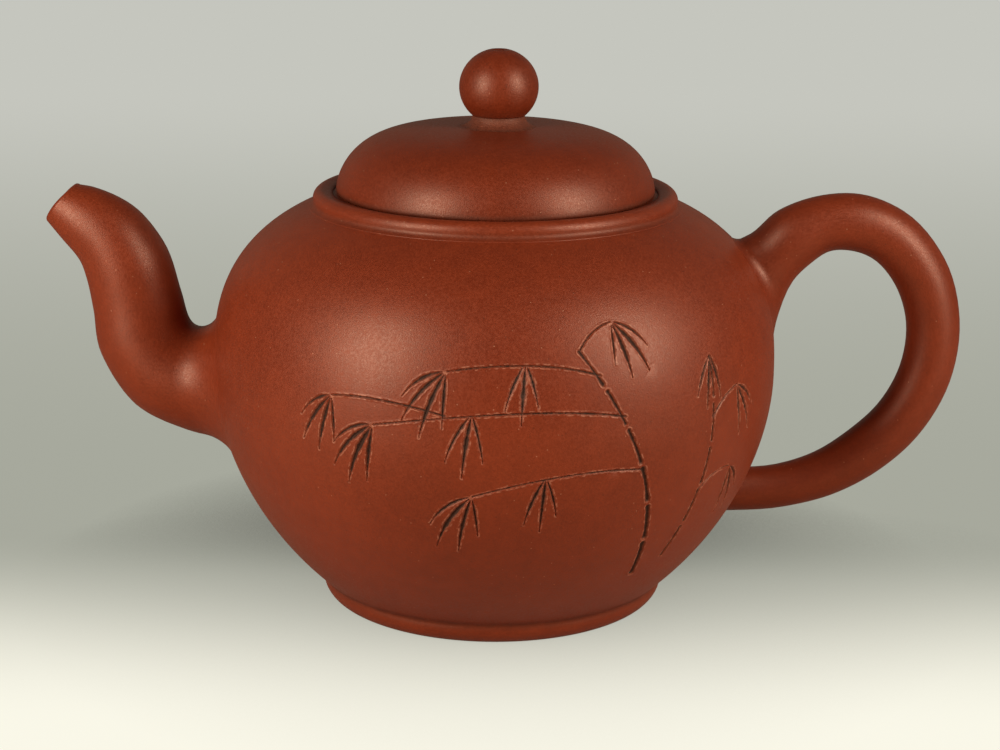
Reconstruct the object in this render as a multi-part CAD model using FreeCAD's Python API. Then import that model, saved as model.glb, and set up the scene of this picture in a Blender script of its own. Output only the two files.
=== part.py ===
import FreeCAD, Part
import math
import os

# A clay teapot, hand built from luted slabs, rings and coils, with a loose lid.
# Sizes are in millimetres and angles in degrees. The pot stands on z = 0 with its axis on Z,
# its spout towards -X and its handle towards +X.

# Belly: a lower and an upper superellipse that meet at the widest level
belly_radius = 58.0
belly_level = 48.5
belly_depth = 59.0
belly_rise = 39.2
lower_fullness = 1.83
upper_fullness = 2.7
wall = 3.0

# Foot ring and base plate: the ring's round side is set by how far in from the belly's edge it lies
# at the top, halfway down and at the bottom
foot_height = 4.4
foot_width = 5.0
foot_top_inset = 0.15
foot_side_inset = 0.2
foot_heel_inset = 2.4
base_thickness = 3.0

# Mouth and the ring around it, with the ledge that the lid sits on
mouth_radius = 29.2
ledge_width = 4.0
ledge_height = 2.2
ring_width = 4.0
ring_bulge_height = 1.6
ring_crest_height = 3.0
ring_crest_inset = 2.1
ring_inner_drop = 0.4
ring_base_inset = 0.5
mouth_plate_inset = 1.5

# Lid: a domed cap over a hollow, with a flange that drops into the mouth
lid_side_gap = 0.7
lid_rise = 13.6
lid_edge_round = 0.8
lid_side_fullness = 4.5
lid_crown_fullness = 1.69
lid_wall = 3.2
flange_gap = 0.35
flange_wall = 2.5
flange_depth = 10.0

# Knob: a ball on a flared collar of clay, with a vent down the middle
knob_radius = 8.05
knob_half_height = 7.72
knob_neck_radius = 5.3
collar_radius = 7.2
collar_height = 2.2
vent_radius = 1.25

# Spout: stations from the root to the lip, each with its distance out from the belly and its
# height above the root's level, and the outside diameter there
spout_level = 44.5
spout_stations = [
    (3.2, 0.1, 22.0),
    (10.4, 3.1, 20.9),
    (14.8, 9.8, 19.6),
    (16.2, 17.3, 18.4),
    (18.4, 25.7, 17.5),
    (21.5, 30.8, 15.9),
    (28.05, 35.75, 12.2),
    (31.1, 37.6, 9.9),
]
spout_root_wall = 3.0
spout_lip_wall = 1.7
spout_root_round = 3.5
spout_root_sink = 0.3
spout_flare_angles = (90, 50, 15)
lip_angle = 41.0

# Strainer: a pierced dome over the spout's hole, inside the belly
strainer_radius = 11.5
strainer_wall = 1.8
strainer_hole_radius = 1.1
strainer_ring_angle = 24.0
strainer_rings = 2
strainer_ring_step = 6

# Handle: stations from the upper to the lower root, each with its distance out from the belly's
# widest point and its height above that point, the thickness in the handle's plane and the width
handle_stations = [
    (-11.0, 14.0, 28.5, 15.0),
    (-0.9, 23.5, 13.1, 12.4),
    (3.7, 27.9, 12.8, 12.2),
    (9.1, 30.5, 11.7, 11.3),
    (16.0, 30.9, 11.8, 11.4),
    (22.7, 28.4, 11.6, 11.2),
    (29.7, 20.7, 11.4, 11.1),
    (33.0, 10.3, 11.0, 10.7),
    (32.0, -1.0, 10.9, 10.6),
    (26.85, -11.2, 10.75, 10.4),
    (19.95, -17.95, 10.6, 10.2),
    (11.6, -23.1, 9.8, 9.6),
    (2.8, -25.8, 9.2, 9.2),
    (-12.0, -26.8, 9.3, 9.3),
]

# How finely the turned outlines are drawn, and how far cutters run past what they cut
outline_spans = 24
cutter_overrun = 1.0

axis_point = FreeCAD.Vector(0, 0, 0)
axis_up = FreeCAD.Vector(0, 0, 1)
across = FreeCAD.Vector(0, 1, 0)


def superellipse(radius, depth, rise, z):
    height = z - belly_level
    reach = rise if height > 0 else depth
    fullness = upper_fullness if height > 0 else lower_fullness
    return radius * (1 - (abs(height) / reach) ** fullness) ** (1 / fullness)


def outer_radius(z):
    return superellipse(belly_radius, belly_depth, belly_rise, z)


def inner_radius(z):
    return superellipse(belly_radius - wall, belly_depth - wall, belly_rise - wall, z)


def shoulder_height(radius, widest, rise):
    return belly_level + rise * (1 - (radius / widest) ** upper_fullness) ** (1 / upper_fullness)


# Places that follow from the sizes above
base_top = foot_height + base_thickness
belly_edge_radius = outer_radius(foot_height)
base_radius = belly_edge_radius - wall
foot_inner = belly_edge_radius - foot_width

ring_inner = mouth_radius + ledge_width
ring_outer = ring_inner + ring_width
neck_level = shoulder_height(ring_outer, belly_radius, belly_rise)
mouth_plate_radius = ring_outer - mouth_plate_inset
mouth_plate_bottom = shoulder_height(mouth_plate_radius, belly_radius - wall, belly_rise - wall)
lid_level = neck_level + ledge_height

lid_radius = ring_inner - lid_side_gap
lid_spring = lid_level + lid_edge_round
flange_outer = mouth_radius - flange_gap
flange_inner = flange_outer - flange_wall

spout_root_x = -outer_radius(spout_level)
spout_root_radius = spout_stations[0][2] / 2
spout_bore_radius = spout_root_radius - spout_root_wall
spout_flare_radius = spout_root_radius + spout_root_round
flare_top_radius = outer_radius(spout_level + spout_flare_radius)
flare_bottom_radius = outer_radius(spout_level - spout_flare_radius)
spout_root_depth = spout_root_sink - spout_root_x - (flare_top_radius + flare_bottom_radius) / 2
spout_root_tilt = math.atan2(flare_top_radius - flare_bottom_radius, 2 * spout_flare_radius)
spout_outward = FreeCAD.Vector(-math.cos(spout_root_tilt), 0, -math.sin(spout_root_tilt))


def lid_curve_height(radius, edge, spring, rise):
    return spring + rise * (1 - (radius / edge) ** lid_side_fullness) ** (1 / lid_crown_fullness)


collar_level = lid_curve_height(collar_radius, lid_radius, lid_spring, lid_rise - lid_edge_round)
knob_level = collar_level + collar_height


def point(radius, z):
    return FreeCAD.Vector(radius, 0, z)


def line(start, end):
    return Part.LineSegment(point(*start), point(*end)).toShape()


def arc(start, middle, end):
    return Part.Arc(point(*start), point(*middle), point(*end)).toShape()


def curve(points):
    spline = Part.BSplineCurve()
    spline.interpolate([point(*p) for p in points])
    return spline.toShape()


def corner(centre, radius, start_angle, end_angle):
    def on_circle(angle):
        turn = math.radians(angle)
        return (centre[0] + radius * math.cos(turn), centre[1] + radius * math.sin(turn))
    return arc(on_circle(start_angle), on_circle((start_angle + end_angle) / 2), on_circle(end_angle))


# A solid turned about the pot's axis from an outline of edges in order
def turned(edges):
    return Part.Face(Part.Wire(edges)).revolve(axis_point, axis_up, 360)


# The outline of the belly's outer or inner face, drawn closer together towards both ends
def belly_curve(low, high, radius_at):
    points = []
    for i in range(outline_spans + 1):
        z = low + (high - low) * (1 - math.cos(math.pi * i / outline_spans)) / 2
        points.append((radius_at(z), z))
    return curve(points)


# The belly's outer or inner face filled to the axis
def belly_filled(low, high, radius_at):
    return turned([
        belly_curve(low, high, radius_at),
        line((radius_at(high), high), (0, high)),
        line((0, high), (0, low)),
        line((0, low), (radius_at(low), low)),
    ])


# The outline of the lid's top or of its hollow, from the edge in to a given radius
def lid_curve(edge, spring, rise, stop):
    start = math.asin((stop / edge) ** (lid_side_fullness / 2))
    points = []
    for i in range(outline_spans + 1):
        turn = math.pi / 2 + (start - math.pi / 2) * i / outline_spans
        radius = edge * math.sin(turn) ** (2 / lid_side_fullness)
        points.append((radius, lid_curve_height(min(radius, edge), edge, spring, rise)))
    return curve(points)


# The round hole through the belly's wall that opens into the spout
def spout_hole():
    start = FreeCAD.Vector(spout_root_x - cutter_overrun, 0, spout_level)
    return Part.makeCylinder(spout_bore_radius, belly_radius, start, FreeCAD.Vector(1, 0, 0))


def belly_wall():
    shell = turned([
        belly_curve(foot_height, neck_level, outer_radius),
        line((ring_outer, neck_level), (mouth_plate_radius, neck_level)),
        line((mouth_plate_radius, neck_level), (mouth_plate_radius, mouth_plate_bottom)),
        belly_curve(mouth_plate_bottom, base_top, inner_radius),
        line((inner_radius(base_top), base_top), (base_radius, base_top)),
        line((base_radius, base_top), (base_radius, foot_height)),
        line((base_radius, foot_height), (belly_edge_radius, foot_height)),
    ])
    return shell.cut(spout_hole())


def base_plate():
    return Part.makeCylinder(base_radius, base_thickness, FreeCAD.Vector(0, 0, foot_height))


def foot_ring():
    heel = (belly_edge_radius - foot_heel_inset, 0)
    side = (belly_edge_radius - foot_side_inset, foot_height / 2)
    top = (belly_edge_radius - foot_top_inset, foot_height)
    return turned([
        line((foot_inner, 0), heel),
        arc(heel, side, top),
        line(top, (foot_inner, foot_height)),
        line((foot_inner, foot_height), (foot_inner, 0)),
    ])


def mouth_plate():
    return turned([
        line((mouth_radius, mouth_plate_bottom), (mouth_plate_radius, mouth_plate_bottom)),
        line((mouth_plate_radius, mouth_plate_bottom), (mouth_plate_radius, neck_level)),
        line((mouth_plate_radius, neck_level), (mouth_radius, neck_level)),
        line((mouth_radius, neck_level), (mouth_radius, mouth_plate_bottom)),
    ])


def neck_ring():
    base = (ring_outer - ring_base_inset, neck_level)
    bulge = (ring_outer, neck_level + ring_bulge_height)
    crest = (ring_outer - ring_crest_inset, neck_level + ring_crest_height)
    lip = (ring_inner, neck_level + ring_crest_height - ring_inner_drop)
    return turned([
        line((mouth_radius, neck_level), base),
        arc(base, bulge, crest),
        line(crest, lip),
        line(lip, (ring_inner, lid_level)),
        line((ring_inner, lid_level), (mouth_radius, lid_level)),
        line((mouth_radius, lid_level), (mouth_radius, neck_level)),
    ])


def lid_dome():
    crown = lid_rise - lid_edge_round
    hollow_rise = lid_rise - lid_wall
    hollow_top = lid_curve_height(vent_radius, flange_inner, lid_level, hollow_rise)
    return turned([
        line((flange_inner, lid_level), (lid_radius - lid_edge_round, lid_level)),
        corner((lid_radius - lid_edge_round, lid_spring), lid_edge_round, -90, 0),
        lid_curve(lid_radius, lid_spring, crown, collar_radius),
        line((collar_radius, collar_level), (vent_radius, collar_level)),
        line((vent_radius, collar_level), (vent_radius, hollow_top)),
        lid_curve(flange_inner, lid_level, hollow_rise, vent_radius),
    ])


def lid_flange():
    bottom = lid_level - flange_depth
    return turned([
        line((flange_inner, bottom), (flange_outer, bottom)),
        line((flange_outer, bottom), (flange_outer, lid_level)),
        line((flange_outer, lid_level), (flange_inner, lid_level)),
        line((flange_inner, lid_level), (flange_inner, bottom)),
    ])


def knob_collar():
    waist = ((collar_radius + 2 * knob_neck_radius) / 3, collar_level + collar_height / 3)
    return turned([
        line((vent_radius, collar_level), (collar_radius, collar_level)),
        arc((collar_radius, collar_level), waist, (knob_neck_radius, knob_level)),
        line((knob_neck_radius, knob_level), (vent_radius, knob_level)),
        line((vent_radius, knob_level), (vent_radius, collar_level)),
    ])


def knob():
    neck_turn = math.acos(knob_neck_radius / knob_radius)
    vent_turn = math.acos(vent_radius / knob_radius)
    centre = knob_level + knob_half_height * math.sin(neck_turn)
    points = []
    for i in range(outline_spans + 1):
        turn = -neck_turn + (vent_turn + neck_turn) * i / outline_spans
        points.append((knob_radius * math.cos(turn), centre + knob_half_height * math.sin(turn)))
    top = points[-1]
    return turned([
        curve(points),
        line(top, (vent_radius, knob_level)),
        line((vent_radius, knob_level), (knob_neck_radius, knob_level)),
    ])


# A round section of the spout, square to the direction that it points in
def spout_section(centre, direction, radius):
    ring = Part.Circle(centre, direction, radius)
    ring.XAxis = across
    return Part.Wire(ring.toShape())


# The direction of the spout's path at each of its stations, with the lip's own angle at the end
def spout_directions(root, places):
    path = Part.BSplineCurve()
    path.interpolate([root] + places)
    directions = [path.tangent(path.parameter(place))[0] for place in places[:-1]]
    turn = math.radians(lip_angle)
    directions.append(FreeCAD.Vector(-math.cos(turn), 0, math.sin(turn)))
    return directions


def spout(belly):
    root = FreeCAD.Vector(spout_root_x, 0, spout_level)
    places = [root + FreeCAD.Vector(-out, 0, up) for out, up, diameter in spout_stations]
    directions = spout_directions(root, places)
    skin = []
    for angle in spout_flare_angles:
        turn = math.radians(angle)
        out = spout_root_round * (1 - math.sin(turn)) - spout_root_depth
        radius = spout_root_radius + spout_root_round * (1 - math.cos(turn))
        skin.append(spout_section(root + spout_outward * out, spout_outward, radius))
    behind = root - spout_outward * (spout_root_depth + cutter_overrun)
    bore = [spout_section(behind, spout_outward, spout_bore_radius)]
    last = len(spout_stations) - 1
    for i, (out, up, diameter) in enumerate(spout_stations):
        thickness = spout_root_wall + (spout_lip_wall - spout_root_wall) * i / last
        skin.append(spout_section(places[i], directions[i], diameter / 2))
        bore.append(spout_section(places[i], directions[i], diameter / 2 - thickness))
    lip_bore_radius = spout_stations[last][2] / 2 - spout_lip_wall
    past = places[last] + directions[last] * cutter_overrun
    bore.append(spout_section(past, directions[last], lip_bore_radius))
    tube = Part.makeLoft(skin, True).cut(belly)
    return tube.cut(Part.makeLoft(bore, True))


# Two spheres with their poles on the spout's axis make the dome, and the holes lie clear of their seam
def strainer(chamber):
    centre = FreeCAD.Vector(-inner_radius(spout_level), 0, spout_level)
    inward = FreeCAD.Vector(1, 0, 0)
    dome = Part.makeSphere(strainer_radius, centre, inward)
    dome = dome.cut(Part.makeSphere(strainer_radius - strainer_wall, centre, inward))
    dome = dome.common(chamber)
    for ring in range(strainer_rings + 1):
        tilt = math.radians(ring * strainer_ring_angle)
        count = max(1, strainer_ring_step * ring)
        for i in range(count):
            turn = 2 * math.pi * (i + 0.5) / count
            aim = FreeCAD.Vector(
                math.cos(tilt),
                math.sin(tilt) * math.sin(turn),
                math.sin(tilt) * math.cos(turn),
            )
            dome = dome.cut(Part.makeCylinder(strainer_hole_radius, 2 * strainer_radius, centre, aim))
    return dome


# An oval section of the handle, square to the direction that it runs in: four quarters of a circle
# of radius 1, which meet in the handle's plane and at its sides, stretched to the thickness and the width
def handle_section(centre, direction, thickness, width):
    inward = direction.cross(across) * (thickness / 2)
    sideways = across * (width / 2)
    placing = FreeCAD.Matrix(
        inward.x, sideways.x, direction.x, centre.x,
        inward.y, sideways.y, direction.y, centre.y,
        inward.z, sideways.z, direction.z, centre.z,
        0, 0, 0, 1,
    )
    quarters = [Part.makeCircle(1, axis_point, axis_up, start, start + 90) for start in (0, 90, 180, 270)]
    return Part.Wire([quarter.transformGeometry(placing).Edges[0] for quarter in quarters])


def handle(belly):
    places = [
        FreeCAD.Vector(belly_radius + out, 0, belly_level + up)
        for out, up, thickness, width in handle_stations
    ]
    path = Part.BSplineCurve()
    path.interpolate(places)
    sections = []
    for place, (out, up, thickness, width) in zip(places, handle_stations):
        direction = path.tangent(path.parameter(place))[0]
        sections.append(handle_section(place, direction, thickness, width))
    return Part.makeLoft(sections, True).cut(belly)


belly = belly_filled(foot_height, neck_level, outer_radius)
chamber = belly_filled(base_top, mouth_plate_bottom, inner_radius)

pieces = {
    "belly_wall": belly_wall(),
    "base_plate": base_plate(),
    "foot_ring": foot_ring(),
    "mouth_plate": mouth_plate(),
    "neck_ring": neck_ring(),
    "spout": spout(belly),
    "strainer": strainer(chamber),
    "handle": handle(belly),
    "lid_dome": lid_dome(),
    "lid_flange": lid_flange(),
    "knob_collar": knob_collar(),
    "knob": knob(),
}

os.makedirs("parts", exist_ok=True)
for name, shape in pieces.items():
    shape.exportStep("parts/" + name + ".step")
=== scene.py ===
import math

import bmesh
import bpy
from mathutils import Matrix, Vector, noise
from mathutils.kdtree import KDTree


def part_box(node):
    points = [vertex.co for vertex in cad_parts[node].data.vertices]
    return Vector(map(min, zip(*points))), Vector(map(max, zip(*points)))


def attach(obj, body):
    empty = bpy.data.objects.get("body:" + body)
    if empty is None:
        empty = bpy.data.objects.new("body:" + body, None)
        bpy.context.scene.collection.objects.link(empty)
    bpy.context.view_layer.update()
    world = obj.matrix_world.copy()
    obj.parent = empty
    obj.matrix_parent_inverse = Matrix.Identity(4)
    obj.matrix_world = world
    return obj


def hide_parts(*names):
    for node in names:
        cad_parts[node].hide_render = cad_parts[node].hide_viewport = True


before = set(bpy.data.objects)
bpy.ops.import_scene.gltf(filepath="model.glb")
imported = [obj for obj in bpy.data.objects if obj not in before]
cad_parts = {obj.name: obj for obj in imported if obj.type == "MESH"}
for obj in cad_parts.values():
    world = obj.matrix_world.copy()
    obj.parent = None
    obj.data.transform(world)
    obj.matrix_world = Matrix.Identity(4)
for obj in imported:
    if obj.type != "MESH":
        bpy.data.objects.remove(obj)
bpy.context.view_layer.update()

mm = 0.001
wheelSteps = 180  # sides of a turned piece
weld = 0.0005 * mm  # points closer than this are one

# Places taken from the CAD pieces
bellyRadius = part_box("belly_wall")[1].x
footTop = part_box("foot_ring")[1].z
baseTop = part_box("base_plate")[1].z
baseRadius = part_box("base_plate")[1].x
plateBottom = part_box("mouth_plate")[0].z
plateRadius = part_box("mouth_plate")[1].x
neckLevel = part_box("neck_ring")[0].z
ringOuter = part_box("neck_ring")[1].x
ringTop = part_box("neck_ring")[1].z
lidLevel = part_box("lid_dome")[0].z
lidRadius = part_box("lid_dome")[1].x
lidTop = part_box("lid_dome")[1].z
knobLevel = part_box("knob")[0].z
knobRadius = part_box("knob")[1].x


# Shader maths: one output socket of a material's nodes, so that sums are written as sums
class Shade:
    def __init__(self, tree, socket=None):
        self.tree = tree
        self.socket = socket

    def node(self, kind, settings, sockets, output=0):
        made = self.tree.nodes.new("ShaderNode" + kind)
        for name, setting in settings.items():
            setattr(made, name, setting)
        for name, item in sockets.items():
            if isinstance(item, Shade):
                self.tree.links.new(item.socket, made.inputs[name])
            else:
                made.inputs[name].default_value = item
        return Shade(self.tree, made.outputs[output])

    def maths(self, operation, *items):
        return self.node("Math", {"operation": operation}, dict(enumerate(items)))

    def __add__(self, other):
        return self.maths("ADD", self, other)

    def __sub__(self, other):
        return self.maths("SUBTRACT", self, other)

    def __rsub__(self, other):
        return self.maths("SUBTRACT", other, self)

    def __mul__(self, other):
        return self.maths("MULTIPLY", self, other)

    def __pow__(self, other):
        return self.maths("POWER", self, other)

    def above(self, other):
        return self.maths("GREATER_THAN", self, other)

    def below(self, other):
        return self.maths("LESS_THAN", self, other)

    # 0 at low and 1 at high, eased at both ends
    def ease(self, low, high):
        sockets = {"Value": self, "From Min": low, "From Max": high}
        return self.node("MapRange", {"interpolation_type": "SMOOTHSTEP"}, sockets)

    def noise(self, place, scale, detail):
        return self.node("TexNoise", {}, {"Vector": place, "Scale": scale, "Detail": detail})

    # this mask lays one colour over another
    def over(self, under, top):
        settings = {"data_type": "RGBA", "clamp_factor": True}
        return self.node("Mix", settings, {0: self, 6: under, 7: top}, output=2)


# a colour as a picture gives it, 0 to 255, for the shader
def tint(red, green, blue):
    def linear(part):
        part = part / 255
        return part / 12.92 if part <= 0.04045 else ((part + 0.055) / 1.055) ** 2.4
    return (linear(red), linear(green), linear(blue), 1)


# Clays
burnished = dict(
    warm=tint(130, 47, 18),
    deep=tint(105, 34, 11),
    roughness=0.44,
    grain=0.16,
    specks=0.55,
)
shadedBurnished = dict(burnished, warm=tint(121, 42, 15), deep=tint(98, 31, 9))  # painted shade: a darker copy of the clay for the lid, knob and handle
raw = dict(
    warm=tint(150, 72, 42),
    deep=tint(126, 54, 30),
    roughness=0.66,
    grain=0.5,
    specks=0.6,
)
slip = dict(
    warm=tint(112, 52, 31),
    deep=tint(86, 35, 18),
    roughness=0.58,
    grain=0.5,
    specks=0.4,
)
paleGrain = tint(184, 124, 90)
darkGrain = tint(64, 24, 12)
# painted shade and grime for the creases
grimeAndShade = tint(60, 30, 19)
cutClay = tint(112, 54, 33)  # the walls of a cut
cutStainAndShade = tint(28, 11, 6)  # tea stain and painted shade in the bottom of a cut
cutBurrHighlight = tint(178, 112, 82)  # clay pushed up along a cut, painted pale as a highlight
sheenTint = (1, 0.55, 0.36, 1)  # the burnished skin shines in its own colour

# textures, in repeats to a metre
scales = dict(
    tone=34,
    swell=80,
    dirtAndShade=260,
    mottle=330,
    burr=1100,
    grains=1500,
    fine=2000,
    sand=4200,
)

# creases painted darker, as painted shade with some grime: radius, height, reach and strength
shadedCreases = [
    (ringOuter - 0.1 * mm, neckLevel + 0.1 * mm, 1.5 * mm, 0.4),
    (lidRadius + 0.3 * mm, lidLevel + 0.6 * mm, 1.2 * mm, 0.7),
    (bellyRadius * 0.617, footTop + 0.5 * mm, 2.2 * mm, 0.6),
    (5.3 * mm, knobLevel, 0.8 * mm, 0.5),
    (7.4 * mm, lidTop, 0.9 * mm, 0.3),
]


def clayFinish(name, look, carved=False):
    material = bpy.data.materials.new(name)
    material.use_nodes = True
    tree = material.node_tree
    shader = tree.nodes["Principled BSDF"]
    clay = Shade(tree)
    place = clay.node("TexCoord", {}, {}, "Object")
    level = clay.node("VectorMath", {"operation": "MULTIPLY"}, {0: place, 1: (1, 1, 0)})
    radius = clay.node("VectorMath", {"operation": "LENGTH"}, {0: level}, "Value")
    height = clay.node("SeparateXYZ", {}, {"Vector": place}, "Z")

    # slow change of tone, mottling of a few millimetres and a fine grain
    tone = clay.noise(place, scales["tone"], 3).ease(0.3, 0.7)
    mottle = clay.noise(place, scales["mottle"], 5).ease(0.3, 0.7)
    fine = clay.noise(place, scales["fine"], 3).ease(0.3, 0.7)
    colour = (tone * 0.3 + mottle * 0.25 + fine * 0.45).over(look["deep"], look["warm"])

    # sparse pale and dark grains of 0.1 to 0.3 mm
    cells = {"Vector": place, "Scale": scales["grains"]}
    reach = clay.node("TexVoronoi", {}, cells, "Distance")
    draw = clay.node("TexVoronoi", {}, cells, "Color")
    chance = clay.node("SeparateColor", {}, {"Color": draw}, "Red")
    pale = (1 - reach.ease(0.1, 0.26)) * chance.above(0.972)
    dark = (1 - reach.ease(0.1, 0.3)) * chance.below(0.06)
    colour = (pale * look["specks"]).over(colour, paleGrain)
    colour = (dark * look["specks"]).over(colour, darkGrain)

    # painted shade and grime in the creases
    dirtAndShade = None
    for creaseRadius, creaseHeight, creaseReach, strength in shadedCreases:
        away = ((radius - creaseRadius) ** 2 + (height - creaseHeight) ** 2) ** 0.5
        here = (1 - away.ease(0, creaseReach)) * strength
        dirtAndShade = here if dirtAndShade is None else clay.maths("MAXIMUM", dirtAndShade, here)
    dirtAndShade = dirtAndShade * (clay.noise(place, scales["dirtAndShade"], 3).ease(0.2, 0.7) * 0.5 + 0.5)
    colour = dirtAndShade.over(colour, grimeAndShade)

    rough = fine * 0.12 + (look["roughness"] - 0.06) + dirtAndShade * 0.2
    if carved:
        cut = clay.node("Attribute", {"attribute_name": "carving"}, {}, "Fac")
        # a painted highlight on the clay pushed up beside each cut
        broken = clay.noise(place, scales["burr"], 2).ease(0.42, 0.62)
        burr = (0 - cut).ease(0.15, 0.9) * broken
        colour = (burr * 0.6).over(colour, cutBurrHighlight)
        colour = (cut.ease(0.02, 0.15) * 0.85).over(colour, cutClay)
        # tea stain and painted shade, darkest down the middle of each cut
        colour = (cut + fine * 0.2).ease(0.3, 0.65).over(colour, cutStainAndShade)
        rough = rough + cut.ease(0, 0.3) * 0.25

    sand = clay.noise(place, scales["sand"], 2).ease(0.25, 0.75)
    swell = clay.noise(place, scales["swell"], 2)
    grain = sand + mottle * 0.3 + pale * 0.6 - dark * 0.4 + swell
    sockets = {"Height": grain, "Strength": look["grain"], "Distance": 0.1 * mm}
    bump = clay.node("Bump", {}, sockets)
    tree.links.new(colour.socket, shader.inputs["Base Color"])
    tree.links.new(rough.socket, shader.inputs["Roughness"])
    tree.links.new(bump.socket, shader.inputs["Normal"])
    shader.inputs["Specular IOR Level"].default_value = 0.85
    shader.inputs["Specular Tint"].default_value = sheenTint
    return material


burnishedClay = clayFinish("burnished_clay", burnished)
carvedBelly = clayFinish("burnished_clay_carved", burnished, carved=True)
# painted shade: the lid, knob and handle take a darker copy of the clay
shadedClay = clayFinish("burnished_clay_shaded", shadedBurnished)
rawClay = clayFinish("raw_clay", raw)
slipClay = clayFinish("slip_clay", slip)
print("clays mixed")


# Modelling

def clearSelection():
    bpy.ops.object.select_all(action="DESELECT")


def applied(piece, kind, **settings):
    clearSelection()
    piece.select_set(True)
    bpy.context.view_layer.objects.active = piece
    bpy.ops.object.modifier_add(type=kind)
    modifier = piece.modifiers[-1]
    for name, setting in settings.items():
        setattr(modifier, name, setting)
    bpy.ops.object.modifier_apply(modifier=modifier.name)


def finished(piece, body, node, material, angle=50):
    clearSelection()
    piece.select_set(True)
    bpy.context.view_layer.objects.active = piece
    bpy.ops.object.shade_smooth_by_angle(angle=math.radians(angle))
    piece.data.materials.clear()
    piece.data.materials.append(material)
    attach(piece, body)
    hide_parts(node)
    print(piece.name, "done,", len(piece.data.polygons), "faces")


# one point, drawn out along a closed outline of (radius, height) and spun about the pot's axis
def turnedPiece(name, outline, steps=wheelSteps):
    clearSelection()
    bpy.ops.mesh.primitive_plane_add(size=mm, location=(0, 0, 0))
    piece = bpy.context.object
    piece.name = piece.data.name = name
    bpy.ops.object.mode_set(mode="EDIT")
    bpy.ops.mesh.select_mode(type="VERT")
    bpy.ops.mesh.select_all(action="SELECT")
    bpy.ops.mesh.merge(type="CENTER")
    bpy.ops.transform.translate(value=(outline[0][0], 0, outline[0][1]))
    for near, far in zip(outline, outline[1:] + outline[:1]):
        step = (far[0] - near[0], 0, far[1] - near[1])
        bpy.ops.mesh.extrude_vertices_move(TRANSFORM_OT_translate={"value": step})
    bpy.ops.mesh.select_all(action="SELECT")
    bpy.ops.mesh.spin(steps=steps, angle=2 * math.pi, center=(0, 0, 0), axis=(0, 0, 1))
    bpy.ops.mesh.select_all(action="SELECT")
    bpy.ops.mesh.remove_doubles(threshold=weld)
    bpy.ops.mesh.normals_make_consistent(inside=False)
    bpy.ops.object.mode_set(mode="OBJECT")
    return piece


# a circle drawn out ring by ring, each ring set to its own points
def ringPiece(name, rings, closed):
    clearSelection()
    fill = "NOTHING" if closed else "NGON"
    bpy.ops.mesh.primitive_circle_add(vertices=len(rings[0]), radius=mm, fill_type=fill)
    piece = bpy.context.object
    piece.name = piece.data.name = name
    seats = piece.data.attributes.new("seat", "INT", "POINT")
    for i, seat in enumerate(seats.data):
        seat.value = i
    bpy.ops.object.mode_set(mode="EDIT")
    bpy.ops.mesh.select_mode(type="VERT")
    bpy.ops.mesh.select_all(action="SELECT")
    for i, ring in enumerate(rings + rings[:1] if closed else rings):
        if i:
            bpy.ops.mesh.extrude_region_move(TRANSFORM_OT_translate={"value": (0, 0, mm)})
        grid = bmesh.from_edit_mesh(piece.data)
        seat = grid.verts.layers.int["seat"]
        for vert in grid.verts:
            if vert.select:
                vert.co = ring[vert[seat]]
        bmesh.update_edit_mesh(piece.data)
    bpy.ops.mesh.select_all(action="SELECT")
    bpy.ops.mesh.remove_doubles(threshold=weld)
    bpy.ops.mesh.normals_make_consistent(inside=False)
    bpy.ops.object.mode_set(mode="OBJECT")
    piece.data.attributes.remove(piece.data.attributes["seat"])
    return piece


# Belly
bellyShape = dict(
    level=48.5 * mm,  # widest here
    depth=59 * mm,
    rise=39.2 * mm,
    lowerFullness=1.83,
    upperFullness=2.7,
    wall=3 * mm,
    holeLevel=44.5 * mm,
    holeRadius=8 * mm,
    holeSides=48,
    drillLength=30 * mm,
    steps=200,
    outerPoints=70,
    innerPoints=24,
)


def bellyRadiusAt(height, inset=0):
    above = height > bellyShape["level"]
    reach = (bellyShape["rise"] if above else bellyShape["depth"]) - inset
    full = bellyShape["upperFullness"] if above else bellyShape["lowerFullness"]
    share = min(1, abs(height - bellyShape["level"]) / reach)
    return (bellyRadius - inset) * (1 - share ** full) ** (1 / full)


def shoulderHeight(radius):
    full = bellyShape["upperFullness"]
    share = (1 - (radius / bellyRadius) ** full) ** (1 / full)
    return bellyShape["level"] + bellyShape["rise"] * share


def bellyRun(low, high, points, inset=0):
    shares = [(1 - math.cos(math.pi * i / points)) / 2 for i in range(points + 1)]
    heights = [low + (high - low) * share for share in shares]
    return [(bellyRadiusAt(height, inset), height) for height in heights]


# the way straight out of the belly's face
def bellyNormal(place):
    step = 0.1 * mm
    slope = (bellyRadiusAt(place.z + step) - bellyRadiusAt(place.z - step)) / (2 * step)
    return Vector((place.x, place.y, -slope * math.hypot(place.x, place.y))).normalized()


def onBelly(place, sink=0):
    scale = bellyRadiusAt(place.z) / math.hypot(place.x, place.y)
    face = Vector((place.x * scale, place.y * scale, place.z))
    return face - bellyNormal(face) * sink


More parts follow.
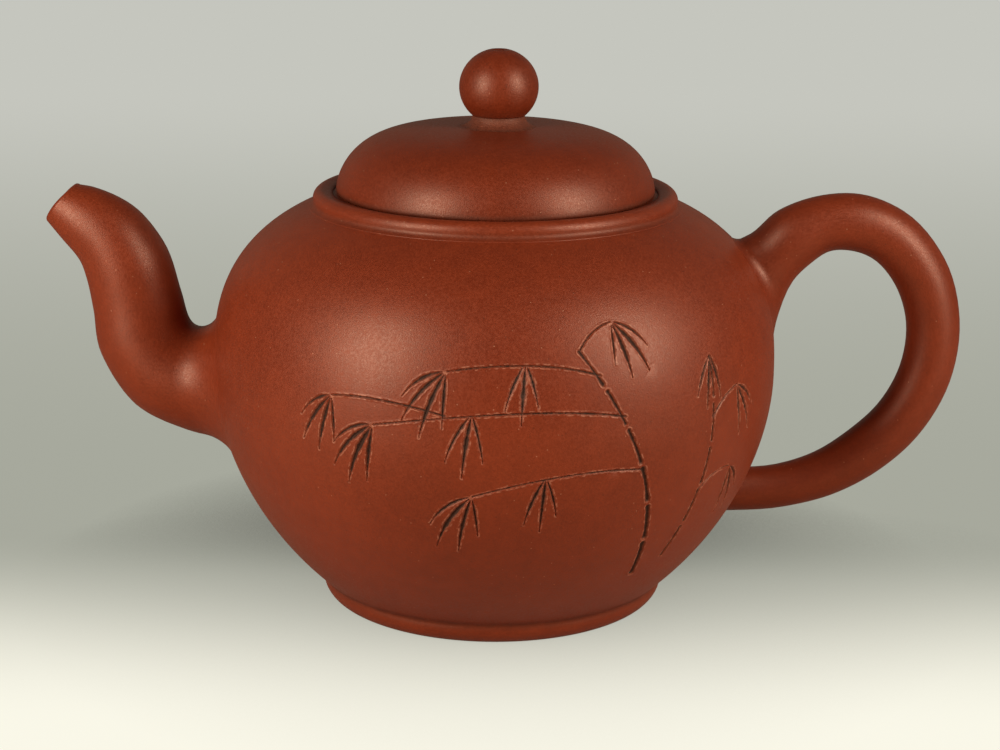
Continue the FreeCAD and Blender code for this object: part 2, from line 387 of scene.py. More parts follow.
# Carving: bamboo cut into the front, in millimetres along the belly and up from the foot
carving = dict(
    depth=0.5 * mm,
    burrHeight=0.04 * mm,
    burrReach=0.3 * mm,
    ragged=0.35,  # how much a stroke's width wavers
    raggedScale=900,
    cuts=[(0.9 * mm, 3), (0.3 * mm, 2)],  # reach beside a stroke and cuts of a face, coarse then fine
    leastDepth=0.35,  # the share of the depth that a hairline has
    depthByWidth=0.9,
    spacing=0.12,  # between points along a stroke
    stemPoints=12,  # to a joint
    stemSwell=0.35,  # at its ends
    stemTaper=0.08,  # from joint to joint
    stems=[
        dict(start=(36, 16), bend=(33, 44), end=(16, 66), joints=6, width=1.15),
        dict(start=(43, 19), bend=(49, 38), end=(46.5, 62), joints=5, width=0.85),
    ],
    twigs=[
        [(20.4, 60.8), (8, 65), (-9, 62)],
        [(25.4, 52.7), (6, 57), (-23, 51)],
        [(30.0, 41.6), (14, 44), (-4, 38)],
        [(47.2, 49.0), (50, 53), (55, 54)],
        [(16.6, 65.3), (19, 69.2), (24, 70)],
        [(46.5, 34.2), (50, 38), (56, 37)],
        [(-9, 53.8), (-22, 57), (-32, 55.5)],
    ],
    sprays=[
        (-9, 62, [(-84, 9), (-58, 12), (-30, 13), (-4, 10)]),
        (-23, 51, [(-88, 9), (-62, 12), (-36, 13), (-12, 11)]),
        (-32, 55.5, [(-80, 8), (-50, 11), (-22, 11), (6, 8)]),
        (-4, 54.3, [(-40, 10), (-12, 12), (18, 9)]),
        (-4, 38, [(-76, 10), (-48, 13), (-20, 12), (10, 8)]),
        (10, 41.9, [(-30, 10), (-4, 11), (24, 8)]),
        (55, 54, [(72, 8), (42, 11), (14, 10)]),
        (24, 70, [(80, 8), (52, 11), (24, 10), (-4, 7)]),
        (56, 37, [(66, 8), (36, 11), (8, 10)]),
        (6, 63.8, [(-34, 9), (-6, 11), (22, 8)]),
        (46.6, 61.6, [(-40, 8), (-10, 10), (24, 9)]),
    ],
    twigPoints=16,
    twigStart=0.3,  # its half width at first
    twigTaper=0.08,  # and what it loses
    leafPoints=20,
    leafStart=0.7,  # out from the twig's end
    leafDroop=0.3,
    leafWidth=1.25,
    leafLength=13,  # a leaf of this length has that width
    leafTip=0.14,
)


def bentRun(start, middle, end, count):
    run = []
    for i in range(count + 1):
        t = i / count
        shares = ((1 - t) ** 2, 2 * t * (1 - t), t * t)
        run.append([sum(s * p[k] for s, p in zip(shares, (start, middle, end))) for k in (0, 1)])
    return run


# every cut is a run of (along, up, half width)
def stemStrokes(stem):
    strokes = []
    count = carving["stemPoints"]
    run = bentRun(stem["start"], stem["bend"], stem["end"], stem["joints"] * count)
    for joint in range(stem["joints"]):
        part = run[joint * count + 1:(joint + 1) * count]
        halfWidth = stem["width"] / 2 * (1 - carving["stemTaper"] * joint)
        stroke = []
        for i, (along, up) in enumerate(part):
            swell = 1 + carving["stemSwell"] * abs(2 * i / (len(part) - 1) - 1) ** 6
            stroke.append((along, up, halfWidth * swell))
        strokes.append(stroke)
    return strokes


def twigStroke(twig):
    count = carving["twigPoints"]
    start, taper = carving["twigStart"], carving["twigTaper"]
    run = bentRun(*twig, count)
    return [(along, up, start - taper * i / count) for i, (along, up) in enumerate(run)]


def leafStroke(along, up, angle, length):
    widest = carving["leafWidth"] / 2 * length / carving["leafLength"]
    stroke = []
    for i in range(carving["leafPoints"] + 1):
        t = i / carving["leafPoints"]
        turn = math.radians(angle) * (1 - carving["leafDroop"] * t)
        out = carving["leafStart"] + length * t
        halfWidth = max(carving["leafTip"], widest * math.sin(math.pi * t ** 0.7) ** 0.8)
        stroke.append((along + out * math.sin(turn), up - out * math.cos(turn), halfWidth))
    return stroke


def carvedStrokes():
    strokes = []
    for stem in carving["stems"]:
        strokes += stemStrokes(stem)
    for twig in carving["twigs"]:
        strokes.append(twigStroke(twig))
    for along, up, leaves in carving["sprays"]:
        for angle, length in leaves:
            strokes.append(leafStroke(along, up, angle, length))
    return strokes


# the cuts as close points on the belly's face, with their half widths
def carvedPoints():
    points = []
    for stroke in carvedStrokes():
        for near, far in zip(stroke, stroke[1:]):
            count = max(1, math.ceil(math.dist(near[:2], far[:2]) / carving["spacing"]))
            for i in range(count):
                t = i / count
                along, up, halfWidth = [a + (b - a) * t for a, b in zip(near, far)]
                turn = along * mm / bellyRadius
                radius = bellyRadiusAt(up * mm)
                place = Vector((radius * math.sin(turn), -radius * math.cos(turn), up * mm))
                waver = 1 + carving["ragged"] * noise.noise(place * carving["raggedScale"])
                points.append((place, halfWidth * waver * mm))
    return points


# faces beside the strokes, cut finer
def refineBeside(piece, tree, points, reach, cuts):
    for polygon in piece.data.polygons:
        near, i, away = tree.find(polygon.center)
        polygon.select = away < points[i][1] + reach
    bpy.ops.object.mode_set(mode="EDIT")
    bpy.ops.mesh.select_mode(type="FACE")
    bpy.ops.mesh.subdivide(number_cuts=cuts)
    bpy.ops.object.mode_set(mode="OBJECT")
    for vert in piece.data.vertices:
        if vert.select:
            vert.co = onBelly(vert.co)


# a stroke is a groove with straight walls, and a low burr beside it
def strokeDepth(place, tree, points, reach):
    depth = 0
    burr = 0
    for near, i, away in tree.find_range(place, reach):
        halfWidth = points[i][1]
        if away < halfWidth:
            full = min(1, carving["leastDepth"] + halfWidth / mm * carving["depthByWidth"])
            depth = max(depth, full * (1 - away / halfWidth))
        elif away < halfWidth + carving["burrReach"]:
            share = (away - halfWidth) / carving["burrReach"]
            burr = max(burr, math.sin(math.pi * share))
    return depth or -burr


def carveBelly(piece):
    points = carvedPoints()
    tree = KDTree(len(points))
    for i, (place, halfWidth) in enumerate(points):
        tree.insert(place, i)
    tree.balance()
    for reach, cuts in carving["cuts"]:
        refineBeside(piece, tree, points, reach, cuts)
    widest = max(halfWidth for place, halfWidth in points) + carving["burrReach"]
    # points on the border of the fine faces stay flat
    coarse = [polygon for polygon in piece.data.polygons if not polygon.select]
    border = {i for polygon in coarse for i in polygon.vertices}
    depths = {}
    for vert in piece.data.vertices:
        if vert.select and vert.index not in border:
            depth = strokeDepth(vert.co, tree, points, widest)
            if depth:
                depths[vert.index] = depth
    grooves = piece.vertex_groups.new(name="grooves")
    burrs = piece.vertex_groups.new(name="burrs")
    for i, depth in depths.items():
        group = grooves if depth > 0 else burrs
        group.add([i], abs(depth), "REPLACE")
    lift = {"grooves": -carving["depth"], "burrs": carving["burrHeight"]}
    for group, strength in lift.items():
        applied(piece, "DISPLACE", vertex_group=group, strength=strength, mid_level=0)
    piece.vertex_groups.clear()
    marks = piece.data.attributes.new("carving", "FLOAT", "POINT")
    for i, depth in depths.items():
        marks.data[i].value = depth


# the hole into the spout
def pierce(piece):
    clearSelection()
    bpy.ops.mesh.primitive_cylinder_add(
        vertices=bellyShape["holeSides"],
        radius=bellyShape["holeRadius"],
        depth=bellyShape["drillLength"],
        location=(-bellyRadius, 0, bellyShape["holeLevel"]),
        rotation=(0, math.pi / 2, 0),
    )
    drill = bpy.context.object
    applied(piece, "BOOLEAN", operation="DIFFERENCE", object=drill)
    bpy.data.objects.remove(drill)


def makeBelly():
    outer = bellyRun(footTop, neckLevel, bellyShape["outerPoints"])
    inner = bellyRun(plateBottom, baseTop, bellyShape["innerPoints"], bellyShape["wall"])
    seat = [(plateRadius, neckLevel), (plateRadius, plateBottom)]
    bottom = [(baseRadius, baseTop), (baseRadius, footTop)]
    piece = turnedPiece("belly", outer + seat + inner[1:] + bottom, bellyShape["steps"])
    pierce(piece)
    clearSelection()
    for part in (piece.data.vertices, piece.data.edges, piece.data.polygons):
        part.foreach_set("select", [False] * len(part))
    piece.select_set(True)
    bpy.context.view_layer.objects.active = piece
    carveBelly(piece)
    finished(piece, "pot", "belly_wall", carvedBelly, 40)


makeBelly()


# Foot ring: a round bead, eased into the belly above it
footShape = dict(
    width=5 * mm,
    topInset=0.15 * mm,
    sideInset=0.2 * mm,
    heelInset=2.4 * mm,
    crease=0.75 * mm,
    sink=0.3 * mm,
    innerBevel=0.8 * mm,
    steps=16,
    creaseSteps=8,
)
bellyEdge = bellyRadiusAt(footTop)


def roundedCorner(centre, radius, start, end, steps):
    run = []
    for i in range(steps + 1):
        turn = math.radians(start + (end - start) * i / steps)
        run.append((centre[0] + radius * math.cos(turn), centre[1] + radius * math.sin(turn)))
    return run


def circleThrough(start, middle, end, steps):
    (ax, ay), (bx, by), (cx, cy) = start, middle, end
    d = 2 * (ax * (by - cy) + bx * (cy - ay) + cx * (ay - by))
    a, b, c = ax * ax + ay * ay, bx * bx + by * by, cx * cx + cy * cy
    x = (a * (by - cy) + b * (cy - ay) + c * (ay - by)) / d
    y = (a * (cx - bx) + b * (ax - cx) + c * (bx - ax)) / d
    radius = math.hypot(ax - x, ay - y)
    first = math.degrees(math.atan2(ay - y, ax - x))
    last = math.degrees(math.atan2(cy - y, cx - x))
    return roundedCorner((x, y), radius, first, last, steps)


def makeFoot():
    heel = (bellyEdge - footShape["heelInset"], 0)
    side = (bellyEdge - footShape["sideInset"], footTop / 2)
    top = (bellyEdge - footShape["topInset"], footTop)
    bead = circleThrough(heel, side, top, footShape["steps"])
    bead = [spot for spot in bead if spot[1] < footTop - footShape["crease"] / 2]
    high = footTop + footShape["crease"]
    joined = (bellyRadiusAt(high), high)
    crease = bentRun(bead[-1], top, joined, footShape["creaseSteps"])[1:]
    inner = bellyEdge - footShape["width"]
    sink, bevel = footShape["sink"], footShape["innerBevel"]
    outline = bead + [tuple(spot) for spot in crease]
    outline += [(joined[0] - sink, high), (bellyEdge - sink, footTop)]
    outline += [(inner, footTop), (inner, bevel), (inner + bevel, 0)]
    piece = turnedPiece("footRing", outline)
    finished(piece, "pot", "foot_ring", burnishedClay)


makeFoot()


# Neck ring: a bead on the shoulder, smeared out over it below
ringShape = dict(
    mouth=29.2 * mm,
    inner=33.2 * mm,
    crestInset=2.1 * mm,
    bulgeHeight=1.6 * mm,
    innerDrop=0.4 * mm,
    baseInset=0.5 * mm,
    smear=0.9 * mm,
    smearHeight=0.07 * mm,
    cornerEase=0.1 * mm,
    tuck=0.15 * mm,  # the smear's edge goes into the shoulder
    sink=0.3 * mm,
    mouthBevel=0.4 * mm,
    steps=14,
    skirtSteps=8,
)


def makeNeckRing():
    base = (ringOuter - ringShape["baseInset"], neckLevel)
    bulge = (ringOuter, neckLevel + ringShape["bulgeHeight"])
    crest = (ringOuter - ringShape["crestInset"], ringTop)
    bead = circleThrough(base, bulge, crest, ringShape["steps"])
    smearRadius = ringOuter + ringShape["smear"]
    smearEnd = (smearRadius, shoulderHeight(smearRadius) + ringShape["smearHeight"])
    cornerRadius = ringOuter - ringShape["cornerEase"]
    corner = (cornerRadius, shoulderHeight(cornerRadius) + ringShape["cornerEase"])
    skirt = bentRun(smearEnd, corner, bead[3], ringShape["skirtSteps"])
    tuck = ringShape["tuck"]
    under = (smearRadius + tuck, shoulderHeight(smearRadius + tuck) - tuck)
    inner, mouth = ringShape["inner"], ringShape["mouth"]
    innerTop = ringTop - ringShape["innerDrop"]
    bevel = ringShape["mouthBevel"]
    outline = [(mouth, neckLevel), (ringOuter, neckLevel - ringShape["sink"]), under]
    outline += [tuple(spot) for spot in skirt] + bead[4:]
    outline += [(inner + 0.25 * mm, innerTop + 0.05 * mm), (inner, innerTop - 0.2 * mm)]
    outline += [(inner, lidLevel), (mouth + bevel, lidLevel), (mouth, lidLevel - bevel)]
    piece = turnedPiece("neckRing", outline)
    finished(piece, "pot", "neck_ring", burnishedClay, 35)


makeNeckRing()


# Plates and flange: plain rings with eased edges
def makePlainRing(name, node, body, inner, ease):
    low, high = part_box(node)
    outer = high.x
    piece = turnedPiece(name, [(inner, low.z), (outer, low.z), (outer, high.z), (inner, high.z)])
    sharp = math.radians(60)
    applied(piece, "BEVEL", width=ease, segments=3, limit_method="ANGLE", angle_limit=sharp)
    finished(piece, body, node, rawClay)


flangeWall = 2.5 * mm
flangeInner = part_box("lid_flange")[1].x - flangeWall
makePlainRing("mouthPlate", "mouth_plate", "pot", ringShape["mouth"], 0.5 * mm)
makePlainRing("basePlate", "base_plate", "pot", 0, 0.3 * mm)
makePlainRing("lidFlange", "lid_flange", "lid", flangeInner, 0.6 * mm)


# Lid
lidShape = dict(
    edgeRound=0.8 * mm,
    edgeSteps=6,
    sideFullness=4.5,
    crownFullness=1.69,
    wall=3.2 * mm,
    vent=1.25 * mm,
    points=44,
)
collarRadius = 7.2 * mm


def lidRun(edge, spring, rise, stop):
    start = math.asin((stop / edge) ** (lidShape["sideFullness"] / 2))
    run = []
    for i in range(lidShape["points"] + 1):
        turn = math.pi / 2 + (start - math.pi / 2) * i / lidShape["points"]
        radius = edge * math.sin(turn) ** (2 / lidShape["sideFullness"])
        share = min(1, radius / edge) ** lidShape["sideFullness"]
        run.append((radius, spring + rise * (1 - share) ** (1 / lidShape["crownFullness"])))
    return run


def makeLid():
    ease = lidShape["edgeRound"]
    share = 1 - (collarRadius / lidRadius) ** lidShape["sideFullness"]
    crown = (lidTop - lidLevel - ease) / share ** (1 / lidShape["crownFullness"])
    edge = roundedCorner((lidRadius - ease, lidLevel + ease), ease, -90, 0, lidShape["edgeSteps"])
    top = lidRun(lidRadius, lidLevel + ease, crown, collarRadius)
    hollow = lidRun(flangeInner, lidLevel, crown + ease - lidShape["wall"], lidShape["vent"])
    middle = [(lidShape["vent"], lidTop)]
    piece = turnedPiece("lidDome", edge + top[1:] + middle + hollow[::-1])
    finished(piece, "lid", "lid_dome", shadedClay)


makeLid()


# Knob on its collar of slip
knobShape = dict(
    halfHeight=7.72 * mm,
    neck=5.3 * mm,
    vent=1.25 * mm,
    points=40,
    steps=96,
    ventFlare=1.5,
    ventDrop=0.35 * mm,
    aside=0.5 * mm,  # it was set by eye, a little off the middle
)


def moveAside(piece):
    bpy.ops.object.mode_set(mode="EDIT")
    bpy.ops.mesh.select_all(action="SELECT")
    bpy.ops.transform.translate(value=(knobShape["aside"], 0, 0))
    bpy.ops.object.mode_set(mode="OBJECT")


def makeKnob():
    neckTurn = math.acos(knobShape["neck"] / knobRadius)
    vent, halfHeight = knobShape["vent"], knobShape["halfHeight"]
    ventTurn = math.acos(vent * knobShape["ventFlare"] / knobRadius)
    centre = knobLevel + halfHeight * math.sin(neckTurn)
    outline = []
    for i in range(knobShape["points"] + 1):
        turn = -neckTurn + (ventTurn + neckTurn) * i / knobShape["points"]
        outline.append((knobRadius * math.cos(turn), centre + halfHeight * math.sin(turn)))
    outline += [(vent, outline[-1][1] - knobShape["ventDrop"]), (vent, knobLevel)]
    piece = turnedPiece("knobBall", outline, knobShape["steps"])
    moveAside(piece)
    finished(piece, "lid", "knob", shadedClay)


collarShape = dict(
    flareSteps=8,
    steps=120,
    seat=(0.6 * mm, 0.3 * mm),  # its rim runs this far in and up under the knob
    wiped=0.06,  # its edge is wiped out by this share, more or less
    ragged=0.1,
    raggedScale=3.1,
)


def makeCollar():
    collarLow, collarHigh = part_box("knob_collar")
    low, high = collarLow.z, collarHigh.z
    neck, vent = knobShape["neck"], knobShape["vent"]
    waist = ((collarRadius + 2 * neck) / 3, low + (high - low) / 3)
    flare = circleThrough((collarRadius, low), waist, (neck, high), collarShape["flareSteps"])
    seatIn, seatUp = collarShape["seat"]
    outline = flare + [(neck - seatIn, high + seatUp), (vent, high), (vent, low)]
    piece = turnedPiece("knobCollar", outline, collarShape["steps"])
    wind = collarShape["raggedScale"]
    for vert in piece.data.vertices:
        out = math.hypot(vert.co.x, vert.co.y)
        if out > neck:
            ragged = noise.noise(Vector((vert.co.x / out * wind, vert.co.y / out * wind, 0.4)))
            wipe = collarShape["wiped"] + collarShape["ragged"] * ragged
            scale = 1 + (out - neck) / (collarRadius - neck) * wipe
            vert.co.x *= scale
            vert.co.y *= scale
    moveAside(piece)
    finished(piece, "lid", "knob_collar", slipClay)


makeKnob()
makeCollar()


# Spout and handle: rings of points threaded through stations

def stationRing(centre, direction, thickness, width, count):
    side = Vector((0, 1, 0))
    inward = direction.cross(side)
    ring = []
    for i in range(count):
        turn = 2 * math.pi * i / count
        spot = centre + inward * (thickness / 2 * math.cos(turn))
        ring.append(spot + side * (width / 2 * math.sin(turn)))
    return ring


# the slope at each of a run of places, weighted by the steps beside it
def slopesOf(places, steps):
    slopes = [(places[1] - places[0]) / steps[0]]
    for i in range(1, len(places) - 1):
        before = (places[i] - places[i - 1]) / steps[i - 1]
        after = (places[i + 1] - places[i]) / steps[i]
        slopes.append((before * steps[i] + after * steps[i - 1]) / (steps[i] + steps[i - 1]))
    slopes.append((places[-1] - places[-2]) / steps[-1])
    return slopes


def threaded(stations, steps, perSpan):
    rings = [[] for i in range(len(steps) * perSpan + 1)]
    for seat in range(len(stations[0])):
        places = [ring[seat] for ring in stations]
        slopes = slopesOf(places, steps)
        for i, step in enumerate(steps):
            for k in range(perSpan):
                t = k / perSpan
                smooth = t * t * (3 - 2 * t)
                place = places[i] * (1 - smooth) + places[i + 1] * smooth
                place = place + slopes[i] * (step * t * (1 - t) ** 2)
                rings[i * perSpan + k].append(place - slopes[i + 1] * (step * t * t * (1 - t)))
        rings[-1].append(places[-1])
    return rings


def gapToBelly(place):
    return math.hypot(place.x, place.y) - bellyRadiusAt(place.z)


# rings that run into the belly are eased onto its face with a fillet, then sunk a little
def metBelly(rings, fillet, runSteps=16, filletSteps=10, sink=0.25 * mm, pull=0.55):
    count = len(rings[0])
    hits = []
    for seat in range(count):
        for i in range(len(rings) - 1):
            near, far = rings[i][seat], rings[i + 1][seat]
            if gapToBelly(near) > 0 >= gapToBelly(far):
                share = gapToBelly(near) / (gapToBelly(near) - gapToBelly(far))
                hits.append((i, near.lerp(far, share)))
                break
    kept = min(i for i, place in hits)
    middles = [sum(ring, Vector()) / count for ring in rings]
    # step back along each line by the fillet's size
    starts = []
    for seat, (i, place) in enumerate(hits):
        left = fillet(seat / count)
        at = place
        while left > (at - rings[i][seat]).length and i > 0:
            left -= (at - rings[i][seat]).length
            at = rings[i][seat]
            i -= 1
        back = (rings[i][seat] - at).normalized()
        starts.append((i, at + back * left, -back))
        kept = min(kept, i)
    made = [list(ring) for ring in rings[:kept + 1]]
    for k in range(1, runSteps + 1):
        ring = []
        for seat, (i, start, ahead) in enumerate(starts):
            line = [rings[j][seat] for j in range(kept, i + 1)] + [start]
            ring.append(alongLine(line, k / runSteps))
        made.append(ring)
    for k in range(1, filletSteps + 1):
        t = k / filletSteps
        shares = ((1 - t) ** 3, 3 * t * (1 - t) ** 2, 3 * t * t * (1 - t), t ** 3)
        ring = []
        for seat, (i, place) in enumerate(hits):
            size = fillet(seat / count)
            normal = bellyNormal(place)
            away = place - middles[i + 1]
            away = (away - normal * away.dot(normal)).normalized()
            start, ahead = starts[seat][1:]
            end = onBelly(place + away * size, sink / 3)
            reach = size * pull
            bends = (start, start + ahead * reach, end - away * reach, end)
            ring.append(sum((bend * share for bend, share in zip(bends, shares)), Vector()))
        made.append(ring)
    last = []
    for spot, before in zip(made[-1], made[-2]):
        last.append(onBelly(spot + (spot - before).normalized() * sink, sink))
    made.append(last)
    return made


def alongLine(line, share):
    lengths = [(far - near).length for near, far in zip(line, line[1:])]
    left = share * sum(lengths)
    for near, far, length in zip(line, line[1:], lengths):
        if left <= length and length > 0:
            return near.lerp(far, left / length)
        left -= length
    return line[-1]


# Spout
spoutShape = dict(
    level=44.5 * mm,
    stations=[  # out from the belly, up from the root's level, diameter
        (-7, -0.6, 23.0),
        (3.2, 0.3, 22.0),
        (10.4, 3.3, 20.9),
        (14.8, 9.8, 19.6),
        (16.2, 17.3, 18.4),
        (18.4, 25.7, 17.5),
        (21.5, 30.8, 15.9),
        (28.05, 35.75, 12.2),
        (30.95, 37.8, 10.1),
    ],
    rootWall=3.0,
    lipWall=1.7,
    lipAngle=41,
    lipBack=0.6 * mm,
    lipBow=0.45 * mm,
    lipSteps=8,
    boreEnd=2.6 * mm,  # the bore runs this far into the belly's wall
    edgeFillet=4.5 * mm,  # above and below
    sideFillet=9 * mm,
    sides=72,
    perSpan=7,
)


def stationPath(places):
    steps = [(far - near).length for near, far in zip(places, places[1:])]
    return steps, [slope.normalized() for slope in slopesOf(places, steps)]


# the sides of the lip reach a little farther than its top and bottom
def bowed(ring, way):
    bends = [math.sin(2 * math.pi * i / len(ring)) ** 2 for i in range(len(ring))]
    return [spot + way * (spoutShape["lipBow"] * bend) for spot, bend in zip(ring, bends)]


def makeSpout():
    stations = spoutShape["stations"]
    level = spoutShape["level"]
    rootX = -bellyRadiusAt(level)
    places = [Vector((rootX - out * mm, 0, level + up * mm)) for out, up, diameter in stations]
    lipTurn = math.radians(spoutShape["lipAngle"])
    lipWay = Vector((-math.cos(lipTurn), 0, math.sin(lipTurn)))
    places[-1] -= lipWay * spoutShape["lipBack"]  # room for the rolled lip
    steps, ways = stationPath(places)
    ways[-1] = lipWay
    sides = spoutShape["sides"]
    skin = []
    bore = []
    for i, (place, way, (out, up, diameter)) in enumerate(zip(places, ways, stations)):
        share = i / (len(stations) - 1)
        wall = spoutShape["rootWall"] + (spoutShape["lipWall"] - spoutShape["rootWall"]) * share
        outer, inner = diameter * mm, (diameter - 2 * wall) * mm
        skin.append(stationRing(place, way, outer, outer, sides))
        bore.append(stationRing(place, way, inner, inner, sides))
    skin[-1] = bowed(skin[-1], lipWay)
    bore[-1] = bowed(bore[-1], lipWay)
    skinRings = threaded(skin, steps, spoutShape["perSpan"])
    boreRings = threaded(bore, steps, spoutShape["perSpan"])

    # the lip is rolled over in a half round
    lip = []
    rimRadius = spoutShape["lipWall"] / 2 * mm
    lipRadius = stations[-1][2] / 2 * mm
    for k in range(1, spoutShape["lipSteps"]):
        turn = math.pi * k / spoutShape["lipSteps"]
        size = 2 * (lipRadius - rimRadius + rimRadius * math.cos(turn))
        centre = places[-1] + lipWay * (rimRadius * math.sin(turn))
        lip.append(bowed(stationRing(centre, lipWay, size, size, sides), lipWay))
    edge, side = spoutShape["edgeFillet"], spoutShape["sideFillet"]

    def fillet(share):
        return edge + (side - edge) * math.sin(2 * math.pi * share) ** 2

    outside = metBelly(skinRings[::-1], fillet)
    boreEnd = rootX + spoutShape["boreEnd"]
    inside = [ring for ring in boreRings if max(spot.x for spot in ring) < boreEnd]
    piece = ringPiece("spoutTube", inside + lip[::-1] + outside, True)
    finished(piece, "pot", "spout", burnishedClay, 60)


makeSpout()


# Handle
handleShape = dict(
    stations=[  # out from the belly's widest point, up from it, thickness, width
        (-11.0, 14.0, 28.5, 15.0),
        (-0.9, 23.5, 13.1, 12.4),
        (3.7, 27.9, 12.8, 12.2),
        (9.1, 30.5, 11.7, 11.3),
        (16.0, 30.9, 11.8, 11.4),
        (22.7, 28.4, 11.6, 11.2),
        (29.7, 20.7, 11.4, 11.1),
        (33.0, 10.3, 11.0, 10.7),
        (32.0, -1.0, 10.9, 10.6),
        (26.85, -11.2, 10.75, 10.4),
        (19.95, -17.95, 10.6, 10.2),
        (11.6, -23.1, 9.8, 9.6),
        (2.8, -25.8, 9.2, 9.2),
        (-12.0, -26.8, 9.3, 9.3),
    ],
    upperFillet=1.4 * mm,  # on top
    webFillet=3.4 * mm,  # underneath
    lowerFillet=0.8 * mm,
    sides=64,
    perSpan=6,
)


def makeHandle():
    stations = handleShape["stations"]
    level = bellyShape["level"]
    places = [Vector((bellyRadius + station[0] * mm, 0, level + station[1] * mm)) for station in stations]
    steps, ways = stationPath(places)
    sections = []
    for place, way, (out, up, thickness, width) in zip(places, ways, stations):
        sections.append(stationRing(place, way, thickness * mm, width * mm, handleShape["sides"]))
    rings = threaded(sections, steps, handleShape["perSpan"])
    middle = len(rings) // 2
    top, web = handleShape["upperFillet"], handleShape["webFillet"]

    def upperFillet(share):
        return web + (top - web) * abs(1 - 2 * share)

    upper = metBelly(rings[:middle + 1][::-1], upperFillet)
    lower = metBelly(rings[middle:], lambda share: handleShape["lowerFillet"])
    piece = ringPiece("handleEar", upper[::-1] + lower[1:], False)
    finished(piece, "pot", "handle", shadedClay, 60)


makeHandle()

# The strainer keeps its own shape, in raw clay
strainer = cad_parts["strainer"]
strainer.data.materials.clear()
strainer.data.materials.append(rawClay)


# Stage: a pale sheet, bright near the camera and greyer behind, seen mostly by a light of its own
stage = dict(
    floorSize=9,
    paper=tint(186, 150, 128),
    near=tint(254, 253, 238),
    middle=tint(169, 172, 160),
    far=tint(203, 204, 196),
    nearY=-0.075,
    middleY=0.03,
    farY=0.75,
    ownLight=0.93,
    shineLight=0.05,  # the share of it that a shine on the clay shows
    shadeReach=0.055,
    frontShade=0.3,
    backShade=1.6,
    frontY=0,  # the shade deepens from here
    backY=0.06,  # to here
)


# how much of the sheet's own light a ray sees, straight, through glass or in a shine
def ownLightSeen(shade):
    seen = shade.node("LightPath", {}, {}, "Is Camera Ray")
    seen = shade.maths("MAXIMUM", seen, shade.node("LightPath", {}, {}, "Is Transmission Ray"))
    shine = shade.node("LightPath", {}, {}, "Is Glossy Ray")
    return shade.maths("MAXIMUM", seen * stage["ownLight"], shine * stage["shineLight"])


def makeFloor():
    clearSelection()
    bpy.ops.mesh.primitive_plane_add(size=stage["floorSize"], location=(0, 0, 0))
    floor = bpy.context.object
    floor.name = "floor"
    material = bpy.data.materials.new("floor_paper")
    material.use_nodes = True
    tree = material.node_tree
    shader = tree.nodes["Principled BSDF"]
    shader.inputs["Base Color"].default_value = stage["paper"]
    shader.inputs["Roughness"].default_value = 0.9
    shader.inputs["Specular IOR Level"].default_value = 0.1
    paper = Shade(tree)
    place = paper.node("TexCoord", {}, {}, "Object")
    away = paper.node("SeparateXYZ", {}, {"Vector": place}, "Y")
    colour = away.ease(stage["nearY"], stage["middleY"]).over(stage["near"], stage["middle"])
    colour = away.ease(stage["middleY"], stage["farY"]).over(colour, stage["far"])
    # soft shade where the pot hangs over the sheet, deeper behind it
    reach = {"Distance": stage["shadeReach"]}
    hidden = 1 - paper.node("AmbientOcclusion", {"samples": 4}, reach, "AO")
    deeper = away.ease(stage["frontY"], stage["backY"]) * (stage["backShade"] - stage["frontShade"])
    colour = (hidden * (deeper + stage["frontShade"])).over(colour, (0, 0, 0, 1))
    glow = paper.node("Emission", {}, {"Color": colour})
    lit = Shade(tree, shader.outputs["BSDF"])
    mixed = paper.node("MixShader", {}, {0: ownLightSeen(paper), 1: lit, 2: glow})
    tree.links.new(mixed.socket, tree.nodes["Material Output"].inputs["Surface"])
    floor.data.materials.append(material)


makeFloor()


# Light: two soft boxes in front, two dull ones at the sides, and a dim room with a paler wall behind
light = dict(
    softBoxes=[
        dict(name="softBoxLeft", turn=-47, rise=20, power=1.34, shines=True),
        dict(name="softBoxRight", turn=56, rise=24.5, power=1.23, shines=True),
        dict(name="sideLeft", turn=-66, rise=10, power=0.3, shines=False),
        dict(name="sideRight", turn=68, rise=10, power=0.28, shines=False),
    ],
    distance=0.42,
    width=0.11,
    height=0.29,
    room=(0.05, 0.05, 0.05, 1),
    wall=(0.5, 0.46, 0.42, 1),
    wallShine=(0.22, 0.17, 0.13, 1),  # as a shine on the clay shows it
    wallBehind=(0.1, 0.9),  # it grows from the sides to straight behind
    wallTop=(0.3, 0.75),  # and fades upwards
)


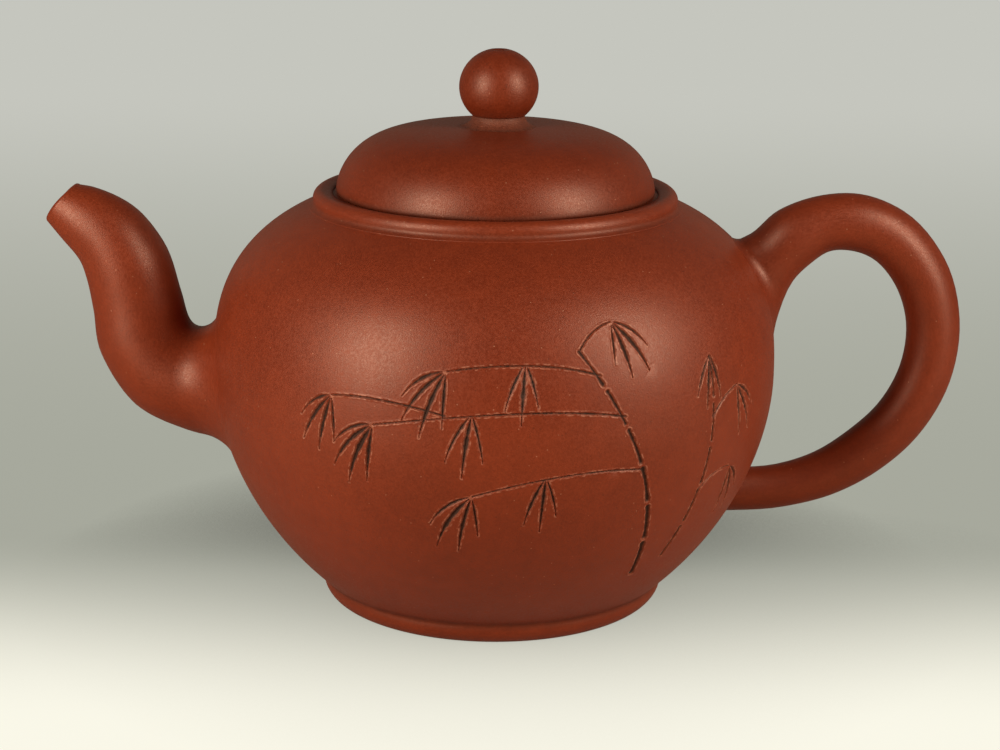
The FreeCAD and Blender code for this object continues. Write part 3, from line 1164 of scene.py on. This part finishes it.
def makeSoftBox(softBox):
    bpy.ops.object.light_add(type="AREA")
    box = bpy.context.object
    box.name = softBox["name"]
    box.visible_camera = False
    box.visible_glossy = softBox["shines"]
    box.data.shape = "RECTANGLE"
    box.data.size = light["width"]
    box.data.size_y = light["height"]
    box.data.energy = softBox["power"]
    turn = math.radians(softBox["turn"])
    rise = math.radians(softBox["rise"])
    aim = Vector((0, 0, bellyShape["level"]))
    level = math.cos(rise)
    way = Vector((math.sin(turn) * level, -math.cos(turn) * level, math.sin(rise)))
    box.location = aim + way * light["distance"]
    box.rotation_euler = way.to_track_quat("Z", "Y").to_euler()


def makeRoom():
    world = bpy.data.worlds.new("room")
    bpy.context.scene.world = world
    world.use_nodes = True
    back = world.node_tree.nodes["Background"]
    room = Shade(world.node_tree)
    place = room.node("TexCoord", {}, {}, "Generated")
    up = room.node("SeparateXYZ", {}, {"Vector": place}, "Z")
    behind = room.node("SeparateXYZ", {}, {"Vector": place}, "Y")
    shine = room.node("LightPath", {}, {}, "Is Glossy Ray")
    wall = behind.ease(*light["wallBehind"]) * (1 - up.ease(*light["wallTop"]))
    colour = wall.over(light["room"], shine.over(light["wall"], light["wallShine"]))
    colour = room.node("LightPath", {}, {}, "Is Camera Ray").over(colour, stage["far"])
    world.node_tree.links.new(colour.socket, back.inputs["Color"])


for softBox in light["softBoxes"]:
    makeSoftBox(softBox)
makeRoom()


# Camera
view = dict(
    place=Vector((0, -453.55, 169.04)) * mm,
    yaw=0.1616,
    pitch=15.1447,
    roll=0.5559,
    lens=80.95,
)


def makeCamera():
    yaw, pitch, roll = [math.radians(view[name]) for name in ("yaw", "pitch", "roll")]
    level = math.cos(pitch)
    forward = Vector((math.sin(yaw) * level, math.cos(yaw) * level, -math.sin(pitch)))
    levelRight = Vector((math.cos(yaw), -math.sin(yaw), 0))
    levelUp = levelRight.cross(forward)
    right = levelRight * math.cos(roll) + levelUp * math.sin(roll)
    up = levelUp * math.cos(roll) - levelRight * math.sin(roll)
    bpy.ops.object.camera_add()
    camera = bpy.context.object
    camera.data.lens = view["lens"]
    turn = Matrix((right, up, -forward)).transposed()
    camera.matrix_world = Matrix.Translation(view["place"]) @ turn.to_4x4()
    bpy.context.scene.camera = camera


makeCamera()
bpy.context.scene.view_settings.view_transform = "Standard"
print("stage, light and camera set")
